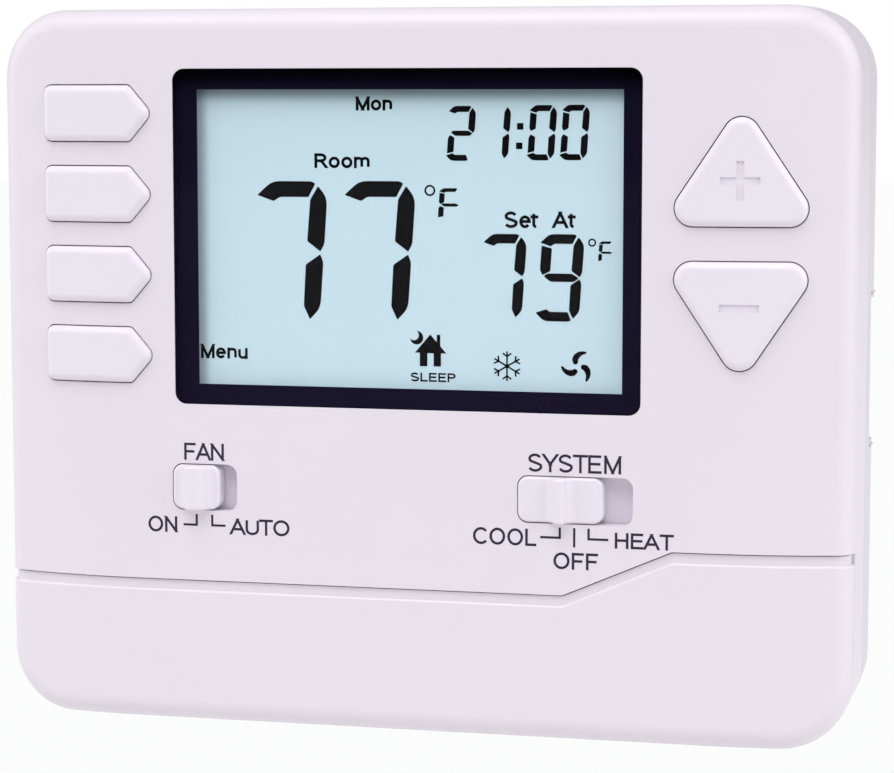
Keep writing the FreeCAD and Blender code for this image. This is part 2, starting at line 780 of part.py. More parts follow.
def battery_tray():
    x0, x1, z0, z1 = tray
    floor_back_y = tray_floor_y + tray_wall
    outer = box(x0 - tray_wall, x1 + tray_wall, tray_front_y, floor_back_y, z0 - tray_wall + 0.1,
                z1 + tray_wall - 0.1)
    hollow = box(x0, x1, tray_front_y - 1, tray_floor_y, z0, z1)
    cradle = rod_x(cell_y, cell_z, cell_radius + 0.2, x0, x1)
    saddles = []
    for x in (-38.0, -12.0, 12.0, 38.0):
        saddle = box(x - 1, x + 1, -14.6, tray_floor_y + 0.5, z0 - 0.2, z1 + 0.2)
        saddles.append(saddle.cut(cradle))
    divider = box(-0.6, 0.6, -21.4, tray_floor_y + 0.5, z0 - 0.2, z1 + 0.2)
    slots = [box(side * (x1 + 0.1), side * (x1 - 1.8), -13.3, tray_floor_y + 0.1, z1 - 1, z1 + 2)
             for side in (-1, 1)]
    return joined([outer.cut(hollow), divider] + saddles).cut(slots)


def battery(x_middle):
    """A cell with its positive end towards +X."""
    x0 = x_middle - cell_length / 2
    x1 = x_middle + cell_length / 2
    can = rod_x(cell_y, cell_z, cell_radius, x0, x1 - nub_length)
    edges = [e for e in can.Edges if len(e.Vertexes) == 1]
    can = can.makeFillet(0.5, edges)
    nub = rod_x(cell_y, cell_z, nub_radius, x1 - nub_length - 0.1, x1)
    return joined([can, nub])


def coil(x0, x1):
    """A battery spring of round wire between the planes x0 and x1."""
    wire = 0.3
    height = x1 - x0 - 2 * wire
    helix = Part.makeHelix(height / 2.5, height, 2.6)
    start = Vector(2.6, 0, 0)
    profile = Part.Wire(Part.makeCircle(wire, start, Vector(0, 1, 0)))
    tube = Part.Wire(helix.Edges).makePipeShell([profile], True, True)
    tube.rotate(Vector(0, 0, 0), Vector(0, 1, 0), 90)
    tube.translate(Vector(x0 + wire, cell_y, cell_z))
    return tube


def battery_springs():
    first = -cell_offset - cell_length / 2
    second = cell_offset - cell_length / 2
    return group([coil(tray[0] + sheet_metal, first), coil(0.6 + sheet_metal, second)])


def battery_contacts():
    """End plates with tails to the board, and the bridge over the divider."""
    x0, x1, z0, z1 = tray
    low = z0 + 0.7
    high = z1 - 0.7
    pieces = []
    for side, x in ((-1, x0), (1, x1)):
        plate = box(x, x - side * sheet_metal, -22.0, -12.7, low, high)
        tail = box(x, x - side * 1.6, -13.1, -12.7, high - sheet_metal, -28.8)
        pieces.append(joined([plate, tail]))
    faces = [box(side * 0.6, side * (0.6 + sheet_metal), -22.0, -13.1, low, high)
             for side in (-1, 1)]
    bridge = box(-0.6 - sheet_metal, 0.6 + sheet_metal, -22.0, -21.5, low, high)
    pieces.append(joined(faces + [bridge]))
    return group(pieces)


def build_all():
    nodes["wall_plate"] = wall_plate()
    nodes["terminal_block_left"] = terminal_block(-1)
    nodes["terminal_block_right"] = terminal_block(1)
    screw_spots = [(side * screw_x, z) for side in (-1, 1) for z in terminal_z]
    nodes["terminal_screws"] = group([terminal_screw(x, z) for x, z in screw_spots])
    nodes["terminal_clamps"] = group([terminal_clamp(x, z) for x, z in screw_spots])
    nodes["terminal_contacts"] = group([terminal_contact(side, z) for side in (-1, 1)
                                        for z in terminal_z])
    nodes["jumper_link"] = jumper_link()
    nodes["rear_shell"] = rear_shell()
    nodes["front_shell"] = front_shell()
    nodes["display_window"] = display_window()
    nodes["window_mask"] = window_mask()
    nodes["lcd_glass"] = lcd_glass()
    nodes["backlight_panel"] = backlight()
    nodes["backlight_leds"] = backlight_leds()
    nodes["lcd_frame"] = lcd_frame()
    nodes["zebra_strip"] = zebra_strip()
    nodes["main_pcb"] = main_pcb()
    nodes["pcb_screws"] = group([screw_from_back(x, z, pcb_back_y, 2.0, 1.0, 7.0)
                                 for x, z in pcb_screws])
    nodes["case_screws"] = group([screw_from_back(x, z, -6.4, 2.2, 1.2, 10.0)
                                  for x, z in case_screws])
    nodes["relays"] = relays()
    nodes["microcontroller"] = microcontroller()
    nodes["capacitors"] = capacitors()
    nodes["crystal"] = crystal()
    nodes["temperature_sensor"] = temperature_sensor()
    nodes["header_pins"] = header_pins()
    menu_domes = [(menu_stem_x, menu_top_z - i * menu_pitch) for i in range(4)]
    nodes["key_pad_left"] = key_pad((-50.0, -41.5, -3.0, 41.0), menu_domes)
    nodes["key_pad_right"] = key_pad((40.0, 50.0, 5.0, 32.5),
                                     [(arrow_x, sign_z(up)) for up in (-1, 1)])
    for i in range(4):
        nodes["menu_key_%d" % (i + 1)] = menu_key(i)
    nodes["plus_key"] = arrow_key(1)
    nodes["minus_key"] = arrow_key(-1)
    nodes["fan_knob"] = knob(fan)
    nodes["fan_switch_body"] = switch_body(fan)
    nodes["fan_switch_slider"] = switch_slider(fan)
    nodes["system_knob"] = knob(system)
    nodes["system_switch_body"] = switch_body(system)
    nodes["system_switch_slider"] = switch_slider(system)
    nodes["battery_door"] = battery_door()
    nodes["door_hinge_pins"] = group([hinge_pin(-1), hinge_pin(1)])
    nodes["battery_tray"] = battery_tray()
    nodes["battery_springs"] = battery_springs()
    nodes["battery_contacts"] = battery_contacts()
    nodes["battery_1"] = battery(-cell_offset)
    nodes["battery_2"] = battery(cell_offset)


build_all()
os.makedirs("parts", exist_ok=True)
for name, shape in nodes.items():
    shape.exportStep("parts/%s.step" % name)
    limits = shape.BoundBox
    print("%-22s solids %2d valid %s volume %9.1f  x %6.1f %6.1f  y %6.2f %6.2f  z %6.1f %6.1f" % (
        name, len(shape.Solids), shape.isValid(), shape.Volume, limits.XMin, limits.XMax,
        limits.YMin, limits.YMax, limits.ZMin, limits.ZMax))
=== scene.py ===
import json
import math

import bmesh
import bpy
from mathutils import Matrix, Vector
from mathutils.geometry import delaunay_2d_cdt


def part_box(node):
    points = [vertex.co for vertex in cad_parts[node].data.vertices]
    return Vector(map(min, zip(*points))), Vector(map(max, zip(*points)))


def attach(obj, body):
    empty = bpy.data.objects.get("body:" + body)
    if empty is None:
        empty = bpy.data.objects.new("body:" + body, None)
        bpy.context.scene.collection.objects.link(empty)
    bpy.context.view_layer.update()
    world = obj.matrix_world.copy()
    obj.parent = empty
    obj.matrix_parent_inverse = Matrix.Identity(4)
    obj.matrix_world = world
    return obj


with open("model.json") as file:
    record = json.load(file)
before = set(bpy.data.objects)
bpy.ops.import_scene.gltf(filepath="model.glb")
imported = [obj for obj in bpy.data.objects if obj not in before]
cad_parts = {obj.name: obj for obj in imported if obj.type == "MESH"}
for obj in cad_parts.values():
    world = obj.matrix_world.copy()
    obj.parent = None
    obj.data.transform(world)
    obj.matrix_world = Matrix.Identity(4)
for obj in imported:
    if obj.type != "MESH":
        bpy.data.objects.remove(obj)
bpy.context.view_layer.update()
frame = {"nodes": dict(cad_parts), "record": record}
mm = 0.001
print("frame loaded:", len(frame["nodes"]), "nodes")


# ---- shader groups

def addSocket(group, name, kind, inOut, value=None):
    socket = group.interface.new_socket(name=name, in_out=inOut, socket_type=kind)
    if value is not None:
        socket.default_value = value
    return socket


def node(tree, kind, values=None, **settings):
    made = tree.nodes.new(kind)
    for name, value in settings.items():
        setattr(made, name, value)
    for socket, value in (values or {}).items():
        made.inputs[socket].default_value = value
    return made


# moulded plastic: a fine grain, slow drifts of tone and a sheen that varies with them
def buildMouldGrain():
    group = bpy.data.node_groups.new("mouldGrain", "ShaderNodeTree")
    addSocket(group, "Color", "NodeSocketColor", "INPUT", (0.8, 0.8, 0.8, 1))
    addSocket(group, "Drift", "NodeSocketFloat", "INPUT", 0.03)
    addSocket(group, "Grain Scale", "NodeSocketFloat", "INPUT", 6000)
    addSocket(group, "Roughness", "NodeSocketFloat", "INPUT", 0.45)
    addSocket(group, "Color", "NodeSocketColor", "OUTPUT")
    addSocket(group, "Roughness", "NodeSocketFloat", "OUTPUT")
    addSocket(group, "Height", "NodeSocketFloat", "OUTPUT")
    link = group.links.new
    given = group.nodes.new("NodeGroupInput")
    out = group.nodes.new("NodeGroupOutput")
    place = node(group, "ShaderNodeTexCoord")
    slow = node(group, "ShaderNodeTexNoise", {"Scale": 38.0, "Detail": 3.0})
    grain = node(group, "ShaderNodeTexNoise", {"Detail": 2.0, "Roughness": 0.6})
    link(place.outputs["Object"], slow.inputs["Vector"])
    link(place.outputs["Object"], grain.inputs["Vector"])
    link(given.outputs["Grain Scale"], grain.inputs["Scale"])
    centred = node(group, "ShaderNodeMath", {1: 0.5}, operation="SUBTRACT")
    drift = node(group, "ShaderNodeMath", operation="MULTIPLY")
    lift = node(group, "ShaderNodeMath", {1: 1.0}, operation="ADD")
    tint = node(group, "ShaderNodeVectorMath", operation="SCALE")
    link(slow.outputs["Fac"], centred.inputs[0])
    link(centred.outputs[0], drift.inputs[0])
    link(given.outputs["Drift"], drift.inputs[1])
    link(drift.outputs[0], lift.inputs[0])
    link(given.outputs["Color"], tint.inputs[0])
    link(lift.outputs[0], tint.inputs["Scale"])
    link(tint.outputs[0], out.inputs["Color"])
    rough = node(group, "ShaderNodeMath", {1: 0.16, 2: 0.0}, operation="MULTIPLY_ADD")
    link(centred.outputs[0], rough.inputs[0])
    link(given.outputs["Roughness"], rough.inputs[2])
    link(rough.outputs[0], out.inputs["Roughness"])
    link(grain.outputs["Fac"], out.inputs["Height"])
    return group


# bare and plated metal: brushed lines along one axis with small stains
def buildMetalLines():
    group = bpy.data.node_groups.new("metalLines", "ShaderNodeTree")
    addSocket(group, "Color", "NodeSocketColor", "INPUT", (0.6, 0.6, 0.6, 1))
    addSocket(group, "Stretch", "NodeSocketVector", "INPUT", (900, 9000, 9000))
    addSocket(group, "Roughness", "NodeSocketFloat", "INPUT", 0.3)
    addSocket(group, "Color", "NodeSocketColor", "OUTPUT")
    addSocket(group, "Roughness", "NodeSocketFloat", "OUTPUT")
    addSocket(group, "Height", "NodeSocketFloat", "OUTPUT")
    link = group.links.new
    given = group.nodes.new("NodeGroupInput")
    out = group.nodes.new("NodeGroupOutput")
    place = node(group, "ShaderNodeTexCoord")
    stretch = node(group, "ShaderNodeVectorMath", operation="MULTIPLY")
    lines = node(group, "ShaderNodeTexNoise", {"Scale": 1.0, "Detail": 3.0})
    stain = node(group, "ShaderNodeTexNoise", {"Scale": 420.0, "Detail": 4.0})
    link(place.outputs["Object"], stretch.inputs[0])
    link(given.outputs["Stretch"], stretch.inputs[1])
    link(stretch.outputs[0], lines.inputs["Vector"])
    link(place.outputs["Object"], stain.inputs["Vector"])
    tone = node(group, "ShaderNodeMapRange", {"To Min": 0.82, "To Max": 1.12})
    tint = node(group, "ShaderNodeVectorMath", operation="SCALE")
    link(stain.outputs["Fac"], tone.inputs["Value"])
    link(given.outputs["Color"], tint.inputs[0])
    link(tone.outputs[0], tint.inputs["Scale"])
    link(tint.outputs[0], out.inputs["Color"])
    rough = node(group, "ShaderNodeMath", {1: 0.2}, operation="MULTIPLY_ADD")
    link(lines.outputs["Fac"], rough.inputs[0])
    link(given.outputs["Roughness"], rough.inputs[2])
    link(rough.outputs[0], out.inputs["Roughness"])
    link(lines.outputs["Fac"], out.inputs["Height"])
    return group


mouldGrain = buildMouldGrain()
metalLines = buildMetalLines()


# ---- materials

def startMaterial(name):
    material = bpy.data.materials.new(name)
    material.use_nodes = True
    tree = material.node_tree
    return material, tree, tree.nodes["Principled BSDF"]


def bumpFrom(tree, height, shader, distance, strength=1.0):
    bump = node(tree, "ShaderNodeBump", {"Distance": distance, "Strength": strength})
    tree.links.new(height, bump.inputs["Height"])
    tree.links.new(bump.outputs["Normal"], shader.inputs["Normal"])


def plastic(name, color, roughness=0.45, drift=0.03, grainScale=6000, depth=2e-6, coat=0.0,
            subsurface=0.0, gloss=0.5):
    material, tree, shader = startMaterial(name)
    grain = node(tree, "ShaderNodeGroup", node_tree=mouldGrain)
    grain.inputs["Color"].default_value = (*color, 1)
    grain.inputs["Drift"].default_value = drift
    grain.inputs["Grain Scale"].default_value = grainScale
    grain.inputs["Roughness"].default_value = roughness
    tree.links.new(grain.outputs["Color"], shader.inputs["Base Color"])
    tree.links.new(grain.outputs["Roughness"], shader.inputs["Roughness"])
    bumpFrom(tree, grain.outputs["Height"], shader, depth)
    shader.inputs["Specular IOR Level"].default_value = gloss
    shader.inputs["Coat Weight"].default_value = coat
    shader.inputs["Coat Roughness"].default_value = 0.15
    shader.inputs["Subsurface Weight"].default_value = subsurface
    shader.inputs["Subsurface Radius"].default_value = (0.0012, 0.0010, 0.0009)
    shader.inputs["Subsurface Scale"].default_value = 1.0
    return material


def metal(name, color, roughness=0.28, stretch=(900, 9000, 9000), depth=1.5e-6):
    material, tree, shader = startMaterial(name)
    lines = node(tree, "ShaderNodeGroup", node_tree=metalLines)
    lines.inputs["Color"].default_value = (*color, 1)
    lines.inputs["Stretch"].default_value = stretch
    lines.inputs["Roughness"].default_value = roughness
    tree.links.new(lines.outputs["Color"], shader.inputs["Base Color"])
    tree.links.new(lines.outputs["Roughness"], shader.inputs["Roughness"])
    bumpFrom(tree, lines.outputs["Height"], shader, depth)
    shader.inputs["Metallic"].default_value = 1.0
    return material


# clear acrylic with little shine, which lets the lamps reach the display behind it
def clearAcrylic():
    material, tree, shader = startMaterial("clearAcrylic")
    shader.inputs["Base Color"].default_value = (1, 1, 1, 1)
    shader.inputs["Transmission Weight"].default_value = 1.0
    shader.inputs["IOR"].default_value = 1.12
    shader.inputs["Specular IOR Level"].default_value = 0.1
    smear = node(tree, "ShaderNodeTexNoise", {"Scale": 60.0, "Detail": 2.0})
    place = node(tree, "ShaderNodeTexCoord")
    spread = node(tree, "ShaderNodeMapRange", {"To Min": 0.0, "To Max": 0.03})
    tree.links.new(place.outputs["Object"], smear.inputs["Vector"])
    tree.links.new(smear.outputs["Fac"], spread.inputs["Value"])
    tree.links.new(spread.outputs[0], shader.inputs["Roughness"])
    clear = node(tree, "ShaderNodeBsdfTransparent")
    path = node(tree, "ShaderNodeLightPath")
    mix = node(tree, "ShaderNodeMixShader")
    tree.links.new(path.outputs["Is Shadow Ray"], mix.inputs[0])
    tree.links.new(shader.outputs[0], mix.inputs[1])
    tree.links.new(clear.outputs[0], mix.inputs[2])
    tree.links.new(mix.outputs[0], tree.nodes["Material Output"].inputs["Surface"])
    return material


# painted shade of the frame on the display: start and end, in from the mask's outer edges, and
# least light
paintedFrameShade = {"top": (2.95, 4.95, 0.38), "left": (2.75, 4.55, 0.62)}


# the display: pale blue film with a very fine grain and a painted shade along its top and left
# edges, where the frame shades them; it glows in its own colour, standing in for the backlight, and
# the painted shade dims that glow too
def displayFilm():
    material, tree, shader = startMaterial("displayFilm")
    link = tree.links.new
    place = node(tree, "ShaderNodeTexCoord")
    cloud = node(tree, "ShaderNodeTexNoise", {"Scale": 22.0, "Detail": 2.0})
    grain = node(tree, "ShaderNodeTexNoise", {"Scale": 5200.0, "Detail": 1.0})
    axes = node(tree, "ShaderNodeSeparateXYZ")
    link(place.outputs["Object"], axes.inputs[0])
    low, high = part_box("window_mask")
    start, end, least = paintedFrameShade["top"]
    fromTop = node(tree, "ShaderNodeMapRange", {"From Min": high.z - start * mm,
                                                "From Max": high.z - end * mm,
                                                "To Min": least}, interpolation_type="SMOOTHSTEP")
    start, end, least = paintedFrameShade["left"]
    fromLeft = node(tree, "ShaderNodeMapRange", {"From Min": low.x + start * mm,
                                                 "From Max": low.x + end * mm,
                                                 "To Min": least}, interpolation_type="SMOOTHSTEP")
    link(axes.outputs["Z"], fromTop.inputs["Value"])
    link(axes.outputs["X"], fromLeft.inputs["Value"])
    # painted shade: the colour and the glow darkened towards the top and left edges
    shade = node(tree, "ShaderNodeMath", operation="MULTIPLY")
    link(fromTop.outputs[0], shade.inputs[0])
    link(fromLeft.outputs[0], shade.inputs[1])
    tint = node(tree, "ShaderNodeMix", data_type="RGBA")
    tint.inputs["A"].default_value = (0.318, 0.422, 0.473, 1)
    tint.inputs["B"].default_value = (0.336, 0.438, 0.489, 1)
    link(place.outputs["Object"], cloud.inputs["Vector"])
    link(place.outputs["Object"], grain.inputs["Vector"])
    link(cloud.outputs["Fac"], tint.inputs["Factor"])
    shaded = node(tree, "ShaderNodeVectorMath", operation="SCALE")
    link(tint.outputs["Result"], shaded.inputs[0])
    link(shade.outputs[0], shaded.inputs["Scale"])
    link(shaded.outputs[0], shader.inputs["Base Color"])
    link(shaded.outputs[0], shader.inputs["Emission Color"])
    bumpFrom(tree, grain.outputs["Fac"], shader, 1e-6)
    shader.inputs["Roughness"].default_value = 0.4
    shader.inputs["Specular IOR Level"].default_value = 0.15
    shader.inputs["Emission Strength"].default_value = 0.45
    return material


# green solder mask with copper runs showing through it as lighter lines
def solderMask():
    material, tree, shader = startMaterial("solderMask")
    place = node(tree, "ShaderNodeTexCoord")
    cells = node(tree, "ShaderNodeTexVoronoi", {"Scale": 170.0, "Randomness": 0.55},
                 feature="DISTANCE_TO_EDGE", distance="MANHATTAN")
    runs = node(tree, "ShaderNodeMapRange", {"From Min": 0.05, "From Max": 0.08})
    tint = node(tree, "ShaderNodeMix", data_type="RGBA")
    tint.inputs["A"].default_value = (0.035, 0.22, 0.085, 1)
    tint.inputs["B"].default_value = (0.012, 0.105, 0.04, 1)
    tree.links.new(place.outputs["Object"], cells.inputs["Vector"])
    tree.links.new(cells.outputs["Distance"], runs.inputs["Value"])
    tree.links.new(runs.outputs[0], tint.inputs["Factor"])
    tree.links.new(tint.outputs["Result"], shader.inputs["Base Color"])
    bumpFrom(tree, runs.outputs[0], shader, 2e-5, 0.4)
    shader.inputs["Roughness"].default_value = 0.3
    return material


# length of the pale band round a cell
bandLong = 10.5


# a cell's printed film: a dark jacket with one pale band, from bandX to the positive end
def cellFilm(name, bandX):
    material, tree, shader = startMaterial(name)
    place = node(tree, "ShaderNodeTexCoord")
    axes = node(tree, "ShaderNodeSeparateXYZ")
    band = node(tree, "ShaderNodeMapRange", {"From Min": bandX - 0.00005, "From Max": bandX})
    tint = node(tree, "ShaderNodeMix", data_type="RGBA")
    tint.inputs["A"].default_value = (0.055, 0.075, 0.11, 1)
    tint.inputs["B"].default_value = (0.62, 0.64, 0.66, 1)
    scuff = node(tree, "ShaderNodeTexNoise", {"Scale": 260.0, "Detail": 5.0})
    spread = node(tree, "ShaderNodeMapRange", {"To Min": 0.18, "To Max": 0.4})
    tree.links.new(place.outputs["Object"], axes.inputs[0])
    tree.links.new(axes.outputs["X"], band.inputs["Value"])
    tree.links.new(band.outputs[0], tint.inputs["Factor"])
    tree.links.new(tint.outputs["Result"], shader.inputs["Base Color"])
    tree.links.new(place.outputs["Object"], scuff.inputs["Vector"])
    tree.links.new(scuff.outputs["Fac"], spread.inputs["Value"])
    tree.links.new(spread.outputs[0], shader.inputs["Roughness"])
    bumpFrom(tree, scuff.outputs["Fac"], shader, 4e-6)
    return material


shellColor = (0.76, 0.706, 0.777)
finishes = {
    "shell_plastic": plastic("shellPlastic", shellColor, 0.42, 0.03, 5200, 2.5e-6),
    "base_plastic": plastic("basePlastic", (0.70, 0.66, 0.735), 0.5, 0.04, 4200, 3.5e-6),
    "key_plastic": plastic("keyPlastic", (0.78, 0.735, 0.815), 0.36, 0.02, 7000, 1.5e-6),
    "clear_lens": clearAcrylic(),
    "mask_ink": plastic("maskInk", (0.019, 0.014, 0.051), 0.3, 0.3, 3000, 1e-6, gloss=0.05),
    "display_glass": displayFilm(),
    "light_guide": plastic("lightGuide", (0.82, 0.86, 0.88), 0.2, 0.02, 2500, 1e-6, 0.5),
    "black_plastic": plastic("blackPlastic", (0.02, 0.02, 0.023), 0.5, 0.3, 4000, 4e-6),
    "grey_rubber": plastic("greyRubber", (0.16, 0.16, 0.17), 0.7, 0.2, 2500, 6e-6),
    "circuit_board": solderMask(),
    "plated_steel": metal("platedSteel", (0.62, 0.61, 0.60), 0.26),
    "contact_brass": metal("contactBrass", (0.78, 0.58, 0.26), 0.3),
    "relay_case": plastic("relayCase", (0.78, 0.77, 0.70), 0.35, 0.05, 3500, 2e-6),
    "chip_resin": plastic("chipResin", (0.018, 0.018, 0.02), 0.6, 0.35, 7000, 5e-6),
    "capacitor_sleeve": plastic("capacitorSleeve", (0.015, 0.02, 0.06), 0.22, 0.2, 1500, 2e-6),
    "bright_can": metal("brightCan", (0.74, 0.74, 0.73), 0.2, (6000, 6000, 700)),
    "sensor_epoxy": plastic("sensorEpoxy", (0.03, 0.03, 0.034), 0.2, 0.3, 1200, 8e-6, 0.4),
    "silicone": plastic("padSilicone", (0.55, 0.56, 0.58), 0.55, 0.05, 2200, 4e-6, 0.0, 0.3),
    "tray_plastic": plastic("trayPlastic", (0.68, 0.645, 0.72), 0.5, 0.05, 3600, 4e-6),
    "terminal_plastic": plastic("terminalPlastic", (0.60, 0.585, 0.62), 0.45, 0.08, 2600, 5e-6),
}
labelInk = plastic("labelInk", (0.036, 0.028, 0.056), 0.5, 0.15, 4000, 1e-6, gloss=0.1)
segmentInk = plastic("segmentInk", (0.003, 0.003, 0.004), 0.5, 0.1, 4000, 1e-6, gloss=0.02)
slotOf = {s["node"]: s["material_slot"] for s in frame["record"]["subparts"]}


def dressNodes():
    for name, thing in frame["nodes"].items():
        thing.data.materials.clear()
        if slotOf[name] == "cell_jacket":
            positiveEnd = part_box(name)[1].x
            material = cellFilm("cellFilm" + name[-1], positiveEnd - bandLong * mm)
        else:
            material = finishes[slotOf[name]]
        thing.data.materials.append(material)


dressNodes()
print("finishes on", len(frame["nodes"]), "nodes")


# ---- mesh helpers; sizes are in millimetres here and in metres on the mesh

# how far printing and raised marks sink into the surface that carries them
sink = 0.01

def finishPiece(name, mesh, body, material):
    piece = bpy.data.objects.new(name, mesh)
    bpy.context.scene.collection.objects.link(piece)
    mesh.materials.clear()
    mesh.materials.append(material)
    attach(piece, body)
    return piece


def roundedOutline(points, radii, steps=6):
    outline = []
    count = len(points)
    for i, radius in enumerate(radii):
        here = Vector(points[i])
        back = (Vector(points[i - 1]) - here).normalized()
        ahead = (Vector(points[(i + 1) % count]) - here).normalized()
        angle = back.angle(ahead)
        if radius <= 0 or angle > 3.1:
            outline.append(here)
            continue
        middle = here + (back + ahead).normalized() * (radius / math.sin(angle / 2))
        start = here + back * (radius / math.tan(angle / 2)) - middle
        end = here + ahead * (radius / math.tan(angle / 2)) - middle
        turn = start.angle_signed(end)
        for k in range(steps + 1):
            outline.append(middle + Matrix.Rotation(-turn * k / steps, 2) @ start)
    return outline


def anticlockwise(outline):
    points = [Vector(p) for p in outline]
    area = sum(a.cross(b) for a, b in zip(points, points[1:] + points[:1]))
    return points if area > 0 else points[::-1]


# overlapping outlines merged into one sheet, then given a front, a back and an edge
def addSheet(bm, outlines, y0, y1):
    outlines = [anticlockwise(outline) for outline in outlines]
    corners = [p for outline in outlines for p in outline]
    loops = []
    start = 0
    for outline in outlines:
        loops.append(list(range(start, start + len(outline))))
        start += len(outline)
    points, _, faces, _, _, sources = delaunay_2d_cdt(corners, [], loops, 1, 1e-6, True)
    kept = [face for face, source in zip(faces, sources) if source]
    front = {}
    back = {}
    for i in {i for face in kept for i in face}:
        front[i] = bm.verts.new((points[i].x * mm, y0 * mm, points[i].y * mm))
        back[i] = bm.verts.new((points[i].x * mm, y1 * mm, points[i].y * mm))
    rim = {}
    for face in kept:
        bm.faces.new([front[i] for i in face])
        bm.faces.new([back[i] for i in reversed(face)])
        for i, j in zip(face, face[1:] + face[:1]):
            rim[i, j] = (j, i) not in rim
            if not rim[i, j]:
                rim[j, i] = False
    for (i, j), outer in rim.items():
        if outer:
            bm.faces.new((front[j], front[i], back[i], back[j]))


def sheetPiece(name, outlines, y0, y1, body, material):
    bm = bmesh.new()
    addSheet(bm, outlines, y0, y1)
    bmesh.ops.recalc_face_normals(bm, faces=bm.faces)
    mesh = bpy.data.meshes.new(name)
    bm.to_mesh(mesh)
    bm.free()
    return finishPiece(name, mesh, body, material)


def arcPoints(x, z, radiusX, radiusZ, start, end, steps=10):
    turns = [math.radians(start + (end - start) * k / steps) for k in range(steps + 1)]
    return [(x + radiusX * math.cos(t), z + radiusZ * math.sin(t)) for t in turns]


# the sine of a bend too slight for a wedge, and the cosine of the sharpest one with a point
slightTurn = 0.02
pointedTurn = -0.1


# a line of one width along the points: a bar for each run and a wedge outside each bend
def strokeShapes(points, width):
    path = [Vector(p) for p in points]
    closed = (path[0] - path[-1]).length < 1e-6
    shapes = []
    aheads = []
    for here, after in zip(path, path[1:]):
        ahead = (after - here).normalized()
        across = Vector((-ahead.y, ahead.x)) * width / 2
        shapes.append([here - across, after - across, after + across, here + across])
        aheads.append(ahead)
    bends = list(zip(path[1:], aheads, aheads[1:]))
    if closed:
        bends.append((path[0], aheads[-1], aheads[0]))
    for here, back, ahead in bends:
        turn = back.cross(ahead)
        if abs(turn) < slightTurn:
            continue
        side = width / 2 if turn < 0 else -width / 2
        first = Vector((-back.y, back.x)) * side
        last = Vector((-ahead.y, ahead.x)) * side
        middle = first + last
        wedge = [here, here + first, here + last]
        if back.dot(ahead) > pointedTurn:
            wedge.insert(2, here + middle * (width * width / 2 / middle.length_squared))
        shapes.append(wedge)
    return shapes


def cutLevel(outline, level, keepAbove):
    sign = 1 if keepAbove else -1
    kept = []
    for here, after in zip(outline, outline[1:] + outline[:1]):
        inHere = (here[1] - level) * sign >= 0
        inAfter = (after[1] - level) * sign >= 0
        if inHere:
            kept.append(here)
        if inHere != inAfter:
            share = (level - here[1]) / (after[1] - here[1])
            kept.append((here[0] + (after[0] - here[0]) * share, level))
    return kept


def ring(x, z, outer, width):
    middle = outer - width / 2
    return strokeShapes(arcPoints(x, z, middle, middle, 0, 360, 28), width)


def bar(x0, z0, x1, z1, width):
    along = Vector((x1 - x0, z1 - z0)).normalized() * width / 2
    return strokeShapes([Vector((x0, z0)) - along, Vector((x1, z1)) + along], width)[0]


def plainO(width, height):
    return arcPoints(width / 2, height / 2, width / 2, height / 2, 0, 360, 24)


def arch(x, width, height):
    half = width / 2
    return arcPoints(x + half, height - half, half, half, 180, 0, 8) + [(x + width, 0)]


smallHeight = 0.72
letterGap = 0.27
closeGap = 0.15
closeLetters = "ATYt"
bowl = ([(0, 1), (0.3, 1)] + arcPoints(0.3, 0.745, 0.28, 0.255, 80, -80, 8) +
        [(0.3, 0.49), (0, 0.49)])
curlS = (arcPoints(0.3, 0.745, 0.28, 0.255, 22, 200, 8) +
         [(0.09, 0.6), (0.3, 0.51), (0.5, 0.42)] +
         arcPoints(0.31, 0.26, 0.31, 0.26, 20, -158, 8))
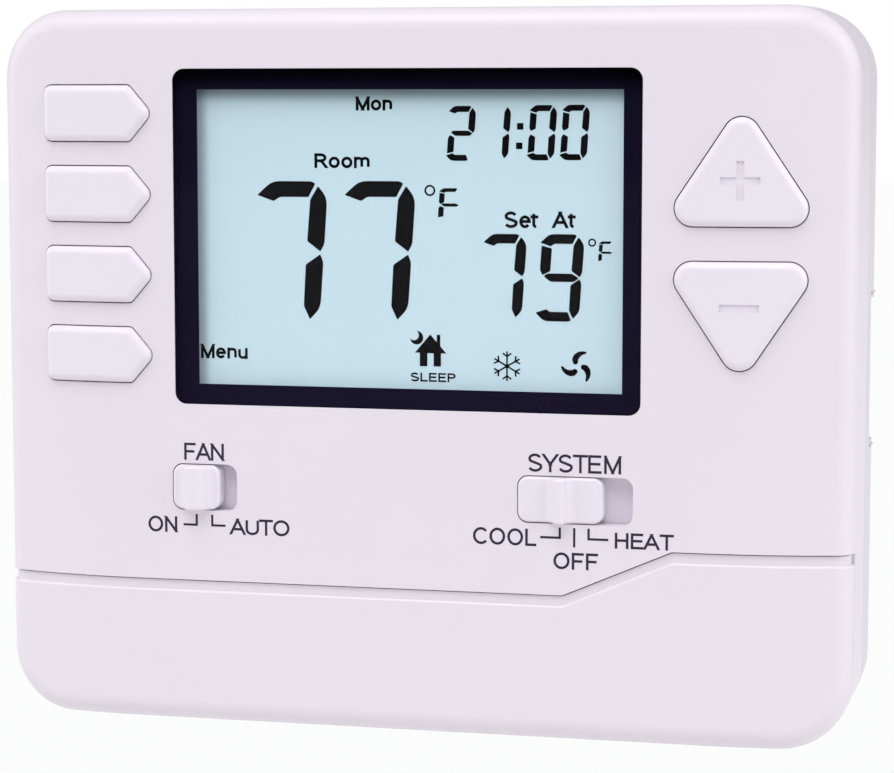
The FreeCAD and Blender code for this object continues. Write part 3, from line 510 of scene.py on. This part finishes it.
# letters as centre lines, one unit high; the number is the letter's width
letters = {
    "A": (0.74, [[(0, 0), (0.37, 1)], [(0.74, 0), (0.37, 1)], [(0.13, 0.31), (0.61, 0.31)]]),
    "C": (0.70, [arcPoints(0.4, 0.5, 0.4, 0.5, 42, 318, 18)]),
    "E": (0.56, [[(0, 0), (0, 1)], [(0, 1), (0.54, 1)], [(0, 0.52), (0.5, 0.52)],
                 [(0, 0), (0.56, 0)]]),
    "F": (0.54, [[(0, 0), (0, 1)], [(0, 1), (0.54, 1)], [(0, 0.5), (0.46, 0.5)]]),
    "H": (0.62, [[(0, 0), (0, 1)], [(0.62, 0), (0.62, 1)], [(0, 0.52), (0.62, 0.52)]]),
    "L": (0.50, [[(0, 0), (0, 1)], [(0, 0), (0.5, 0)]]),
    "M": (0.74, [[(0, 0), (0, 1)], [(0, 1), (0.37, 0)], [(0.74, 1), (0.37, 0)],
                 [(0.74, 0), (0.74, 1)]]),
    "N": (0.62, [[(0, 0), (0, 1)], [(0, 1), (0.62, 0)], [(0.62, 0), (0.62, 1)]]),
    "O": (0.78, [plainO(0.78, 1)]),
    "P": (0.58, [[(0, 0), (0, 1)], bowl]),
    "R": (0.62, [[(0, 0), (0, 1)], bowl, [(0.34, 0.49), (0.62, 0)]]),
    "S": (0.61, [curlS]),
    "T": (0.64, [[(0, 1), (0.64, 1)], [(0.32, 0), (0.32, 1)]]),
    "U": (0.62, [[(0, 1)] + arcPoints(0.31, 0.31, 0.31, 0.31, 180, 360, 12) + [(0.62, 1)]]),
    "Y": (0.68, [[(0, 1), (0.34, 0.42)], [(0.68, 1), (0.34, 0.42)], [(0.34, 0), (0.34, 0.5)]]),
    "e": (0.50, [[(0.02, 0.38), (0.5, 0.38)],
                 [(0.5, 0.38)] + arcPoints(0.25, 0.36, 0.25, 0.36, 5, 322, 16)]),
    "m": (0.80, [[(0, 0), (0, smallHeight)], arch(0, 0.4, smallHeight),
                 arch(0.4, 0.4, smallHeight)]),
    "n": (0.46, [[(0, 0), (0, smallHeight)], arch(0, 0.46, smallHeight)]),
    "o": (0.52, [plainO(0.52, smallHeight)]),
    "t": (0.30, [[(0.11, 0.95), (0.11, 0.2)] + arcPoints(0.28, 0.17, 0.17, 0.17, 185, 262, 4),
                 [(0, smallHeight), (0.29, smallHeight)]]),
    "u": (0.46, [[(0, smallHeight)] + arcPoints(0.23, 0.23, 0.23, 0.23, 180, 340, 8),
                 [(0.46, 0), (0.46, smallHeight)]]),
    "+": (0.6, [[(0, 0.5), (0.6, 0.5)], [(0.3, 0.2), (0.3, 0.8)]]),
    "-": (0.6, [[(0, 0.5), (0.6, 0.5)]]),
    "1": (0.3, [[(0.3, 0), (0.3, 1)], [(0.02, 0.72), (0.3, 0.98)]]),
    "2": (0.56, [[(0.03, 0.72)] + arcPoints(0.28, 0.73, 0.26, 0.27, 165, -25, 10) +
                 [(0.02, 0.0)], [(0, 0), (0.56, 0)]]),
    "3": (0.56, [arcPoints(0.27, 0.755, 0.24, 0.245, 160, -80, 10),
                 arcPoints(0.28, 0.27, 0.28, 0.27, 85, -160, 10)]),
    "4": (0.6, [[(0.46, 0), (0.46, 1)], [(0.46, 1), (0, 0.3)], [(0, 0.3), (0.6, 0.3)]]),
    "5": (0.56, [[(0.5, 1), (0.1, 1), (0.05, 0.53)] +
                 arcPoints(0.27, 0.31, 0.28, 0.31, 130, -150, 12)]),
    "6": (0.56, [arcPoints(0.28, 0.3, 0.28, 0.3, 0, 360, 20),
                 arcPoints(0.4, 0.4, 0.4, 0.6, 75, 180, 8) + [(0, 0.3)]]),
    "7": (0.56, [[(0, 1), (0.56, 1)], [(0.56, 1), (0.2, 0)]]),
    "8": (0.56, [arcPoints(0.28, 0.75, 0.24, 0.25, 0, 360, 18),
                 arcPoints(0.28, 0.26, 0.28, 0.26, 0, 360, 20)]),
}


# a straight stroke with its ends cut level, or square if the stroke itself is level
def straightStroke(first, last, weight):
    along = (last - first).normalized()
    if abs(first.y - last.y) < 1e-6:
        return strokeShapes([first - along * weight / 2, last + along * weight / 2], weight)
    bottom, top = sorted((first.y, last.y))
    shape = strokeShapes([first - along * weight * 2, last + along * weight * 2], weight)[0]
    shape = cutLevel([tuple(p) for p in shape], bottom - weight / 2, True)
    return [cutLevel(shape, top + weight / 2, False)]


def wordOutlines(text, extent, weight):
    x0, x1, z0, z1 = extent
    gaps = []
    for left, right in zip(text, text[1:]):
        near = left in closeLetters or right in closeLetters
        gaps.append(closeGap if near else letterGap)
    units = sum(letters[c][0] for c in text) + sum(gaps)
    tall = 1.0 if any(c.isupper() or c.isdigit() for c in text) else smallHeight
    scaleX = (x1 - x0 - weight) / units
    scaleZ = (z1 - z0 - weight) / tall
    outlines = []
    x = x0 + weight / 2
    low = z0 + weight / 2
    for c, gap in zip(text, gaps + [0]):
        width, lines = letters[c]
        for line in lines:
            placed = [Vector((x + px * scaleX, low + pz * scaleZ)) for px, pz in line]
            if len(placed) == 2:
                outlines += straightStroke(*placed, weight)
            else:
                outlines += strokeShapes(placed, weight)
        x += (width + gap) * scaleX
    return outlines


# ---- printing on the front

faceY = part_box("front_shell")[0].y / mm
print("front face at", round(faceY, 2))
labels = {
    "ink": 0.02,
    "weight": 0.35,
    "tick": 0.315,
    "fan": [("FAN", (-32.95, -27.1, -12.69, -10.26)), ("ON", (-38.4, -34.1, -23.09, -20.81)),
            ("AUTO", (-26.3, -17.55, -23.09, -20.81))],
    "system": [("SYSTEM", (16.5, 29.4, -12.79, -10.27)), ("COOL", (8.8, 17.7, -23.09, -20.71)),
               ("HEAT", (28.6, 36.7, -22.99, -20.81)), ("OFF", (20.1, 26.3, -26.14, -23.81))],
    "fanTicks": [(-31.2, -20.55, -31.2, -21.9), (-31.2, -21.9, -33.0, -21.9),
                 (-28.9, -20.55, -28.9, -21.9), (-28.9, -21.9, -27.1, -21.9)],
    "systemTicks": [(20.97, -20.55, 20.97, -21.8), (20.97, -21.8, 18.4, -21.8),
                    (22.98, -20.55, 22.98, -22.9),
                    (24.97, -20.55, 24.97, -21.85), (24.97, -21.85, 27.55, -21.85)],
}


def printLabels():
    for switch in ("fan", "system"):
        outlines = []
        for text, extent in labels[switch]:
            outlines += wordOutlines(text, extent, labels["weight"])
        outlines += [bar(*tick, labels["tick"]) for tick in labels[switch + "Ticks"]]
        sheetPiece(switch + "Label", outlines, faceY - labels["ink"], faceY + sink,
                   "thermostat_body", labelInk)


printLabels()
print("labels printed")


# ---- display graphics

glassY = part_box("lcd_glass")[0].y / mm
display = {
    "lean": 0.068,
    "film": 0.015,
    "words": [("Mon", (-8.6, -3.4, 36.3, 38.25), 0.40),
              ("Room", (-14.58, -6.64, 28.35, 30.4), 0.41),
              ("Set", (12.41, 17.2, 20.31, 22.6), 0.42), ("At", (19.12, 22.39, 20.37, 22.64), 0.42),
              ("Menu", (-31.4, -24.5, 1.45, 3.48), 0.39),
              ("SLEEP", (-0.84, 5.6, -1.13, 0.12), 0.24)],
    "clock": [("2", 7.98, 29.45, 7.5), ("1", 12.89, 29.55, 7.5), ("0", 19.28, 29.57, 7.5),
              ("0", 23.81, 29.62, 7.5)],
    "colon": [(14.61, 34.18), (14.48, 31.53)],
    "colonSize": 0.9,
    "room": [("7", -13.95, 6.6, 19.9), ("7", -1.33, 6.75, 19.85), ("F", 6.1, 21.05, 4.65, 1.34)],
    "roomDegree": (1.93, 25.36, 0.78, 0.26),
    "set": [("7", 14.85, 7.65, 11.85), ("9", 22.85, 7.6, 11.95), ("F", 27.5, 15.55, 3.1, 1.34)],
    "setDegree": (24.65, 18.45, 0.56, 0.22),
}
# each segment: points (inwards from the right edge, up from the base) and corner radii,
# both as shares of the digit's height
segmentA = ([(0.092, 0.985), (0.125, 1.0), (0.41, 1.0), (0.512, 0.902), (0.388, 0.86),
             (0.345, 0.89), (0.137, 0.89)], [0.01, 0.03, 0.14, 0.004, 0.004, 0.04, 0.004])
segmentB = ([(0.072, 0.967), (0.0, 0.885), (0.0, 0.565), (0.026, 0.51), (0.127, 0.582),
             (0.123, 0.873)], [0.004, 0.14, 0.08, 0.004, 0.02, 0.01])
segmentF = ([(0.494, 0.868), (0.372, 0.836), (0.372, 0.575), (0.461, 0.53), (0.495, 0.59)],
            [0.004, 0.004, 0.03, 0.004, 0.06])
segmentG = ([(0.458, 0.522), (0.395, 0.55), (0.12, 0.55), (0.035, 0.5), (0.09, 0.455),
             (0.36, 0.455)], [0.02, 0.05, 0.05, 0.004, 0.05, 0.05])


def upsideDown(segment):
    points, radii = segment
    return [(u, 1 - v) for u, v in points], radii


segments = {"a": segmentA, "b": segmentB, "c": upsideDown(segmentB), "d": upsideDown(segmentA),
            "e": upsideDown(segmentF), "f": segmentF, "g": segmentG}
digitSegments = {"0": "abcdef", "1": "bc", "2": "abged", "7": "abc", "9": "abcdfg", "F": "aefg"}


def digitOutlines(character, right, base, height, wide=1.0):
    outlines = []
    for letter in digitSegments[character]:
        points, radii = segments[letter]
        placed = [(right - u * wide * height + v * height * display["lean"], base + v * height)
                  for u, v in points]
        outlines.append(roundedOutline(placed, [r * height for r in radii]))
    return outlines


def square(x, z, size):
    half = size / 2
    return [(x - half, z - half), (x + half, z - half), (x + half, z + half), (x - half, z + half)]


def displayPiece(name, outlines):
    return sheetPiece(name, outlines, glassY - display["film"], glassY + sink, "thermostat_body",
                      segmentInk)


def showDigits():
    clock = [o for digit in display["clock"] for o in digitOutlines(*digit)]
    clock += [square(x, z, display["colonSize"]) for x, z in display["colon"]]
    displayPiece("clockDigits", clock)
    for name in ("room", "set"):
        outlines = [o for digit in display[name] for o in digitOutlines(*digit)]
        displayPiece(name + "Digits", outlines + ring(*display[name + "Degree"]))
    words = [o for word in display["words"] for o in wordOutlines(*word)]
    displayPiece("displayWords", words)


showDigits()


# ---- repeated shapes, by geometry nodes

def groupInput(modifier, name):
    for item in modifier.node_group.interface.items_tree:
        if item.item_type == "SOCKET" and item.in_out == "INPUT" and item.name == name:
            return item.identifier
    raise KeyError(name)


# copies of a template, each shifted by Step and turned by Turn about the line through Pivot
def buildRepeatTree():
    group = bpy.data.node_groups.new("repeatShape", "GeometryNodeTree")
    addSocket(group, "Geometry", "NodeSocketGeometry", "INPUT")
    addSocket(group, "Template", "NodeSocketObject", "INPUT")
    addSocket(group, "Count", "NodeSocketInt", "INPUT", 3)
    addSocket(group, "Step", "NodeSocketVector", "INPUT", (0, 0, 0))
    addSocket(group, "Turn", "NodeSocketFloat", "INPUT", 0.0)
    addSocket(group, "Pivot", "NodeSocketVector", "INPUT", (0, 0, 0))
    addSocket(group, "Material", "NodeSocketMaterial", "INPUT")
    addSocket(group, "Geometry", "NodeSocketGeometry", "OUTPUT")
    link = group.links.new
    given = group.nodes.new("NodeGroupInput")
    out = group.nodes.new("NodeGroupOutput")
    line = node(group, "GeometryNodeMeshLine", mode="OFFSET")
    template = node(group, "GeometryNodeObjectInfo")
    place = node(group, "GeometryNodeInstanceOnPoints")
    index = node(group, "GeometryNodeInputIndex")
    turn = node(group, "ShaderNodeMath", operation="MULTIPLY")
    angles = node(group, "ShaderNodeCombineXYZ")
    realize = node(group, "GeometryNodeRealizeInstances")
    paint = node(group, "GeometryNodeSetMaterial")
    link(given.outputs["Count"], line.inputs["Count"])
    link(given.outputs["Pivot"], line.inputs["Start Location"])
    link(given.outputs["Step"], line.inputs["Offset"])
    link(given.outputs["Template"], template.inputs["Object"])
    link(line.outputs["Mesh"], place.inputs["Points"])
    link(template.outputs["Geometry"], place.inputs["Instance"])
    link(index.outputs[0], turn.inputs[0])
    link(given.outputs["Turn"], turn.inputs[1])
    link(turn.outputs[0], angles.inputs["Y"])
    link(angles.outputs[0], place.inputs["Rotation"])
    link(place.outputs["Instances"], realize.inputs["Geometry"])
    link(realize.outputs["Geometry"], paint.inputs["Geometry"])
    link(given.outputs["Material"], paint.inputs["Material"])
    link(paint.outputs["Geometry"], out.inputs["Geometry"])
    return group


repeatTree = buildRepeatTree()


def repeated(name, outlines, y0, y1, settings, body, material):
    bm = bmesh.new()
    addSheet(bm, outlines, y0, y1)
    bmesh.ops.recalc_face_normals(bm, faces=bm.faces)
    shape = bpy.data.meshes.new(name + "Shape")
    bm.to_mesh(shape)
    bm.free()
    template = bpy.data.objects.new(name + "Template", shape)
    carrier = bpy.data.objects.new(name + "Carrier", bpy.data.meshes.new(name + "Carrier"))
    for thing in (template, carrier):
        bpy.context.scene.collection.objects.link(thing)
    modifier = carrier.modifiers.new("repeat", "NODES")
    modifier.node_group = repeatTree
    values = {"Template": template, "Material": material, **settings}
    for key, value in values.items():
        modifier[groupInput(modifier, key)] = value
    evaluated = carrier.evaluated_get(bpy.context.evaluated_depsgraph_get())
    mesh = bpy.data.meshes.new_from_object(evaluated)
    for thing in (carrier, template):
        bpy.data.objects.remove(thing)
    return finishPiece(name, mesh, body, material)


icons = {
    "house": [(1.97, 5.46), (2.9, 4.42), (2.9, 5.44), (3.4, 5.44), (3.4, 3.84), (4.27, 2.86),
              (3.5, 2.86), (3.5, 1.02), (2.45, 1.02), (2.45, 2.84), (1.56, 2.84),
              (1.56, 1.02), (0.48, 1.02), (0.48, 2.9), (-0.22, 2.9)],
    "moon": (0.03, 4.98, 0.95, -0.36, 5.32, 0.7),
    "snow": (12.85, 1.29, 2.05, 0.23),
    "hub": (22.78, 1.43),
    "blade": [((-0.36, 0.70), 0.38), ((-0.40, 1.02), 0.42), ((-0.24, 1.38), 0.42),
              ((0.10, 1.70), 0.36), ((0.52, 1.90), 0.27), ((1.02, 1.96), 0.16)],
}


def crescent(x, z, radius, holeX, holeZ, holeRadius, steps=20):
    between = Vector((holeX - x, holeZ - z))
    gap = between.length
    facing = math.atan2(between.y, between.x)
    reach = (radius ** 2 - holeRadius ** 2 + gap ** 2) / (2 * gap)
    outerHalf = math.acos(reach / radius)
    innerHalf = math.acos((reach - gap) / holeRadius)
    outline = []
    for k in range(steps + 1):
        turn = facing + outerHalf + (2 * math.pi - 2 * outerHalf) * k / steps
        outline.append((x + radius * math.cos(turn), z + radius * math.sin(turn)))
    for k in range(1, steps):
        turn = facing - innerHalf - (2 * math.pi - 2 * innerHalf) * k / steps
        outline.append((holeX + holeRadius * math.cos(turn), holeZ + holeRadius * math.sin(turn)))
    return outline


# one blade of the fan icon, about its own hub: round spots and the webs between them
def bladeOutlines(spots):
    outlines = [arcPoints(x, z, r, r, 0, 345, 23) for (x, z), r in spots]
    for ((x0, z0), r0), ((x1, z1), r1) in zip(spots, spots[1:]):
        across = Vector((z0 - z1, x1 - x0)).normalized()
        a = Vector((x0, z0))
        b = Vector((x1, z1))
        outlines.append([a - across * r0, b - across * r1, b + across * r1, a + across * r0])
    return outlines


def snowArm(length, width):
    arm = [bar(0, 0.1, 0, length - width / 2, width)]
    for side in (-1, 1):
        arm.append(bar(0, length * 0.66, side * length * 0.25, length * 0.84, width))
    arm.append(arcPoints(0, 0, width * 1.35, width * 1.35, 0, 330, 11))
    return arm


# a shape drawn about its own middle and turned to make the whole icon
def turnedIcon(name, outlines, x, z, count):
    half = display["film"] / 2
    settings = {"Count": count, "Turn": math.pi * 2 / count, "Step": (0.0, 0.0, 0.0),
                "Pivot": (x * mm, (glassY - half) * mm, z * mm)}
    repeated(name, outlines, -half, half, settings, "thermostat_body", segmentInk)


def showIcons():
    displayPiece("houseIcon", [icons["house"], crescent(*icons["moon"])])
    x, z, length, width = icons["snow"]
    turnedIcon("snowIcon", snowArm(length, width), x, z, 6)
    turnedIcon("fanIcon", bladeOutlines(icons["blade"]), *icons["hub"], 3)


showIcons()
print("display drawn")


# ---- marks on the parts that show when the cover or the case is off

marks = {
    "numberSize": (1.0, 1.7, 0.24),
    "numberX": 36.9,
    "rowStep": 10.0,
    "top": (-3.6, 3.6, 27.4, 30.0),
    "topWeight": 0.4,
    "arrow": [(-2.0, 31.6), (2.0, 31.6), (0.0, 35.0)],
    "plateFloorY": -2.0,
    "coverWall": 2.0,
    "cellHalf": (21.0, 4.2),
    "cellMiddle": (24.95, -38.6),
    "cellLine": 0.4,
    "signInset": (2.0, 5.0),
    "signHalf": 2.5,
    "signWeight": 0.6,
    "relief": 0.25,
    "recessY": -10.1,
    "sticker": (-17.0, 17.0, -8.0, 13.0),
    "stickerCorner": 1.5,
    "paper": 0.06,
    "lineZ": [9.5, 7.3, 5.1, 0.8, -1.4, -3.6],
    "lineLong": [26.0, 20.0, 23.0, 17.0, 24.0, 12.0],
    "lineInset": 4.5,
    "lineWidth": 0.7,
}
stickerPaper = plastic("stickerPaper", (0.83, 0.83, 0.81), 0.6, 0.04, 1800, 3e-6, gloss=0.2)


def boxCorners(x0, x1, z0, z1):
    return [(x0, z0), (x1, z0), (x1, z1), (x0, z1)]


def terminalNumbers():
    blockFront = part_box("terminal_block_left")[0].y / mm
    width, height, weight = marks["numberSize"]
    outlines = []
    for i in range(8):
        side = -1 if i < 4 else 1
        x = side * marks["numberX"] - width / 2
        z = marks["rowStep"] * (1.5 - i % 4) - height / 2
        outlines += wordOutlines(str(i + 1), (x, x + width, z, z + height), weight)
    sheetPiece("terminalNumbers", outlines, blockFront - labels["ink"], blockFront + sink,
               "wall_base", labelInk)


def topMark():
    front = marks["plateFloorY"]
    outlines = wordOutlines("TOP", marks["top"], marks["topWeight"]) + [marks["arrow"]]
    sheetPiece("topMark", outlines, front - marks["relief"], front + sink, "wall_base",
               finishes["base_plastic"])


# two cell outlines with their signs, raised inside the battery cover
def polarityMarks():
    inside = faceY + marks["coverWall"]
    halfX, halfZ = marks["cellHalf"]
    near, far = marks["signInset"]
    middleX, z = marks["cellMiddle"]
    low = z - marks["signHalf"]
    high = z + marks["signHalf"]
    outlines = []
    for side in (-1, 1):
        x0 = side * middleX - halfX
        x1 = side * middleX + halfX
        corners = boxCorners(x0, x1, z - halfZ, z + halfZ)
        outlines += strokeShapes(corners + corners[:1], marks["cellLine"])
        outlines += wordOutlines("-", (x0 + near, x0 + far, low, high), marks["signWeight"])
        outlines += wordOutlines("+", (x1 - far, x1 - near, low, high), marks["signWeight"])
    sheetPiece("polarityMarks", outlines, inside - sink, inside + marks["relief"],
               "battery_cover", finishes["shell_plastic"])


# a paper label in the recess of the back, with plain bars in place of print
def ratingSticker():
    paperBack = marks["recessY"] - sink
    paperFace = marks["recessY"] + marks["paper"]
    paper = roundedOutline(boxCorners(*marks["sticker"]), [marks["stickerCorner"]] * 4)
    sheetPiece("stickerPaper", [paper], paperBack, paperFace, "thermostat_body",
               stickerPaper)
    end = marks["sticker"][1] - marks["lineInset"]
    outlines = [bar(end - long, z, end, z, marks["lineWidth"])
                for z, long in zip(marks["lineZ"], marks["lineLong"])]
    sheetPiece("stickerBars", outlines, paperFace - sink, paperFace + labels["ink"],
               "thermostat_body", labelInk)


terminalNumbers()
topMark()
polarityMarks()
ratingSticker()
print("marks added")


# ---- stage, lights and camera

stage = {
    "floorZ": -0.16,
    "floorSize": 6.0,
    "eye": (0.09029, -0.38573, 0.03795),
    "turnLeft": 13.356,
    "tiltDown": 6.088,
    "lens": 108.72,
    "lamps": {"softboxAbove": (10, 60, 1.65, 40), "softboxLeft": (78, 22, 1.2, 60),
              "softboxRight": (-78, 22, 1.6, 60)},
    "skyLight": 0.27,
}


def makeFloor():
    half = stage["floorSize"]
    mesh = bpy.data.meshes.new("floor")
    corners = [(-half, -half), (half, -half), (half, half), (-half, half)]
    mesh.from_pydata([(x, y, stage["floorZ"]) for x, y in corners], [], [(0, 1, 2, 3)])
    floor = bpy.data.objects.new("floor", mesh)
    bpy.context.scene.collection.objects.link(floor)
    mesh.materials.append(plastic("floorPaint", (0.92, 0.92, 0.92), 0.9, 0.0, 300, 1e-5,
                                  gloss=0.0))


def addSun(name, fromLeft, height, strength, spread):
    lamp = bpy.data.lights.new(name, "SUN")
    lamp.energy = strength
    lamp.angle = math.radians(spread)
    holder = bpy.data.objects.new(name, lamp)
    side = math.radians(fromLeft)
    lift = math.radians(height)
    holder.rotation_euler = Vector((math.sin(side) * math.cos(lift),
                                    math.cos(side) * math.cos(lift),
                                    -math.sin(lift))).to_track_quat("-Z", "Y").to_euler()
    bpy.context.scene.collection.objects.link(holder)


def lightScene():
    for name, values in stage["lamps"].items():
        addSun(name, *values)
    world = bpy.data.worlds.new("studio")
    world.use_nodes = True
    tree = world.node_tree
    light = tree.nodes["Background"]
    light.inputs["Color"].default_value = (0.98, 0.98, 1.0, 1)
    light.inputs["Strength"].default_value = stage["skyLight"]
    seen = node(tree, "ShaderNodeBackground", {"Color": (1, 1, 1, 1), "Strength": 1.0})
    path = node(tree, "ShaderNodeLightPath")
    mix = node(tree, "ShaderNodeMixShader")
    tree.links.new(path.outputs["Is Camera Ray"], mix.inputs[0])
    tree.links.new(light.outputs[0], mix.inputs[1])
    tree.links.new(seen.outputs[0], mix.inputs[2])
    tree.links.new(mix.outputs[0], tree.nodes["World Output"].inputs["Surface"])
    bpy.context.scene.world = world


def placeCamera():
    turn = math.radians(stage["turnLeft"])
    tilt = math.radians(stage["tiltDown"])
    gaze = Vector((-math.sin(turn) * math.cos(tilt), math.cos(turn) * math.cos(tilt),
                   -math.sin(tilt)))
    lens = bpy.data.cameras.new("camera")
    lens.lens = stage["lens"]
    lens.sensor_width = 36.0
    lens.clip_start = 0.01
    camera = bpy.data.objects.new("camera", lens)
    camera.location = stage["eye"]
    camera.rotation_euler = gaze.to_track_quat("-Z", "Y").to_euler()
    bpy.context.scene.collection.objects.link(camera)
    bpy.context.scene.camera = camera


makeFloor()
lightScene()
placeCamera()
bpy.context.scene.view_settings.view_transform = "Standard"
print("stage set")
